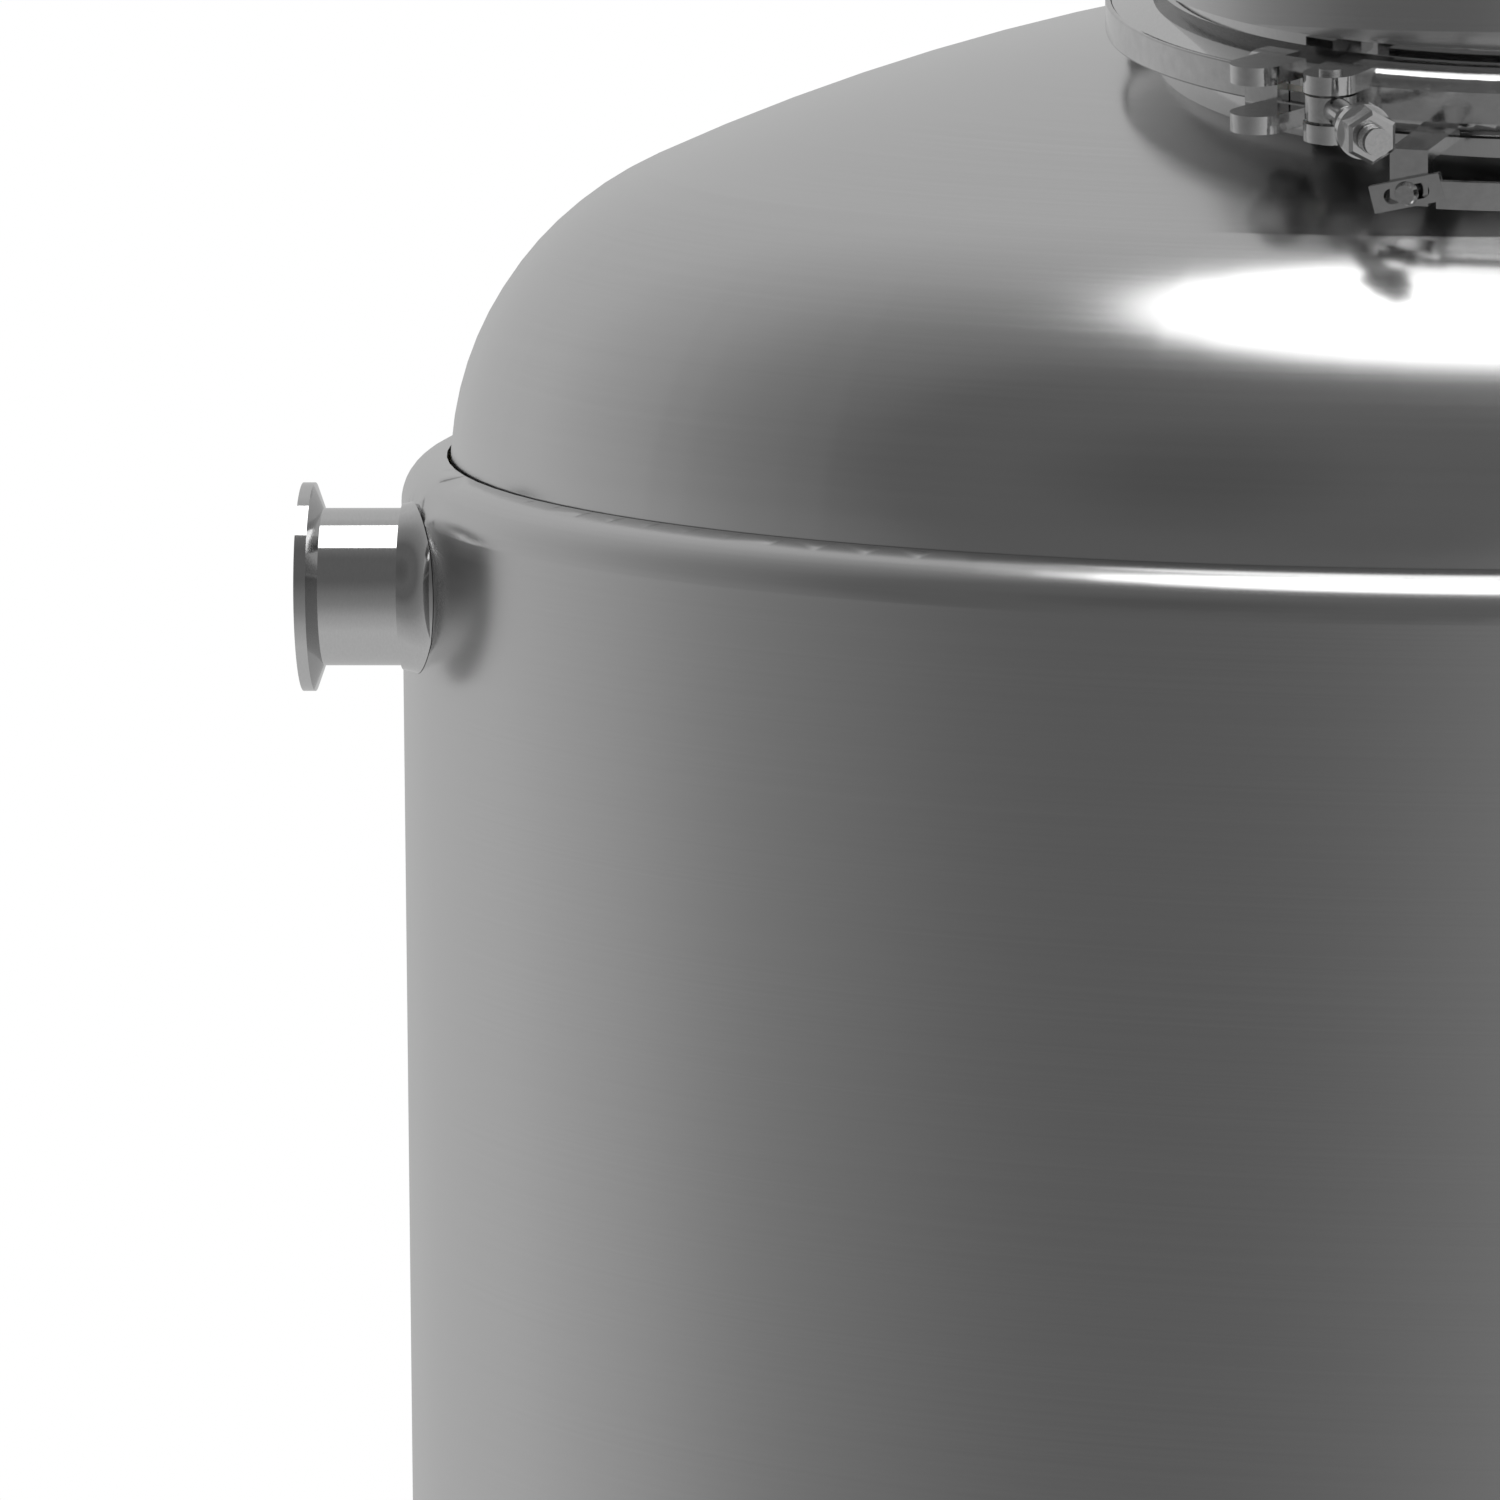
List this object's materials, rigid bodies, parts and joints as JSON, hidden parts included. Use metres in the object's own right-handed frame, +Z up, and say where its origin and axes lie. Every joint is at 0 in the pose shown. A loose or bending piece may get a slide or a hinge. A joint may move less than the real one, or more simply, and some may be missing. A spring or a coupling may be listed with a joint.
{
  "type": "brew kettle",
  "caption": "Closed jacketed kettle with a dished top, leaning clamped neck, vertical vapour stack, side port, bottom drain valve, heating element and levelling legs.",
  "frame": {"origin": "on the floor, on the vessel's vertical axis", "axes": "+Z up, -Y to the front where the neck leans, -X towards the side port"},
  "size_m": [0.5929, 0.676, 1.342],
  "materials": {
    "satin_steel": "satin brushed stainless steel",
    "brushed_dome": "smooth satin stainless steel",
    "polished_steel": "mirror polished stainless steel",
    "cast_steel": "polished cast stainless steel",
    "steel_fasteners": "machined stainless steel",
    "leg_steel": "satin stainless steel tube",
    "silicone": "matt translucent white silicone",
    "insulation_foam": "felted mineral wool",
    "element_sheath": "heat tinted steel sheath",
    "black_plastic": "fine textured black plastic"
  },
  "bodies": {
    "kettle": {"bottom_head": "satin_steel", "drain_ferrule": "polished_steel", "drain_front_jaw": "cast_steel", "drain_gasket": "silicone", "drain_hinge_pin": "steel_fasteners", "drain_pivot_pin": "steel_fasteners", "drain_rear_jaw": "cast_steel", "element_cap": "polished_steel", "element_ferrule": "polished_steel", "element_front_jaw": "cast_steel", "element_gasket": "silicone", "element_gland": "black_plastic", "element_hinge_pin": "steel_fasteners", "element_housing": "black_plastic", "element_pivot_pin": "steel_fasteners", "element_rear_jaw": "cast_steel", "element_rod": "element_sheath", "insulation": "insulation_foam", "jacket": "satin_steel", "jacket_floor": "satin_steel", "leg_1": "leg_steel", "leg_2": "leg_steel", "leg_3": "leg_steel", "leg_4": "leg_steel", "neck_ferrule": "polished_steel", "neck_gasket": "silicone", "neck_hinge_pin": "steel_fasteners", "neck_rear_jaw": "cast_steel", "side_port_collar": "polished_steel", "side_port_ferrule": "polished_steel", "stack_cone": "satin_steel", "stack_ferrule": "polished_steel", "stack_outlet_ferrule": "polished_steel", "stack_shell": "satin_steel", "support_ring": "satin_steel", "top_head": "brushed_dome", "valve_bolts": "steel_fasteners", "valve_lower_body": "polished_steel", "valve_seat": "silicone", "valve_upper_body": "polished_steel", "vessel_shell": "satin_steel"},
    "neck_jaw": {"neck_front_jaw": "cast_steel", "neck_pivot_pin": "steel_fasteners", "neck_pull_strap": "cast_steel", "neck_strap_screws": "steel_fasteners"},
    "neck_bolt": {"neck_swing_bolt": "steel_fasteners"},
    "neck_nut": {"neck_hex_nut": "cast_steel"},
    "drain_bolt": {"drain_swing_bolt": "steel_fasteners"},
    "drain_nut": {"drain_wing_nut": "cast_steel"},
    "element_bolt": {"element_swing_bolt": "steel_fasteners"},
    "element_nut": {"element_wing_nut": "cast_steel"},
    "valve_lever": {"valve_disc": "steel_fasteners", "valve_handle": "steel_fasteners"},
    "levelling_foot_1": {"foot_1": "leg_steel"},
    "levelling_foot_2": {"foot_2": "leg_steel"},
    "levelling_foot_3": {"foot_3": "leg_steel"},
    "levelling_foot_4": {"foot_4": "leg_steel"}
  },
  "joints": [
    {"name": "neck_jaw_hinge", "type": "hinge", "parent": "kettle", "child": "neck_jaw", "pos_m": [0.07913, -0.00987, 1.09073], "axis": [0, -0.1392, 0.9903], "range_deg": [0, 60]},
    {"name": "neck_bolt_pivot", "type": "hinge", "parent": "neck_jaw", "child": "neck_bolt", "pos_m": [-0.05475, -0.20179, 1.06376], "axis": [0, -0.1392, 0.9903], "range_deg": [-138, 0]},
    {"name": "neck_nut_turn", "type": "hinge", "parent": "neck_bolt", "child": "neck_nut", "pos_m": [-0.05475, -0.20179, 1.06376], "axis": [0.2798, -0.9507, -0.1336], "continuous": true},
    {"name": "drain_bolt_pivot", "type": "hinge", "parent": "kettle", "child": "drain_bolt", "pos_m": [0.0087, 0.03488, 0.306], "axis": [0, 0, -1], "range_deg": [0, 110]},
    {"name": "drain_nut_turn", "type": "hinge", "parent": "drain_bolt", "child": "drain_nut", "pos_m": [0.0087, 0.03488, 0.306], "axis": [-1, 0, 0], "continuous": true},
    {"name": "element_bolt_pivot", "type": "hinge", "parent": "kettle", "child": "element_bolt", "pos_m": [0.04143, 0.321, 0.51252], "axis": [0, 1, 0], "range_deg": [0, 110]},
    {"name": "element_nut_turn", "type": "hinge", "parent": "element_bolt", "child": "element_nut", "pos_m": [0.04143, 0.321, 0.51252], "axis": [0, 0, 1], "continuous": true},
    {"name": "valve_turn", "type": "hinge", "parent": "kettle", "child": "valve_lever", "pos_m": [0, 0, 0.2652], "axis": [1, 0, 0], "range_deg": [0, 90]},
    {"name": "foot_1_turn", "type": "hinge", "parent": "kettle", "child": "levelling_foot_1", "pos_m": [0.15203, 0.15203, 0.02], "axis": [0, 0, 1], "continuous": true},
    {"name": "foot_2_turn", "type": "hinge", "parent": "kettle", "child": "levelling_foot_2", "pos_m": [-0.15203, 0.15203, 0.02], "axis": [0, 0, 1], "continuous": true},
    {"name": "foot_3_turn", "type": "hinge", "parent": "kettle", "child": "levelling_foot_3", "pos_m": [-0.15203, -0.15203, 0.02], "axis": [0, 0, 1], "continuous": true},
    {"name": "foot_4_turn", "type": "hinge", "parent": "kettle", "child": "levelling_foot_4", "pos_m": [0.15203, -0.15203, 0.02], "axis": [0, 0, 1], "continuous": true}
  ]
}
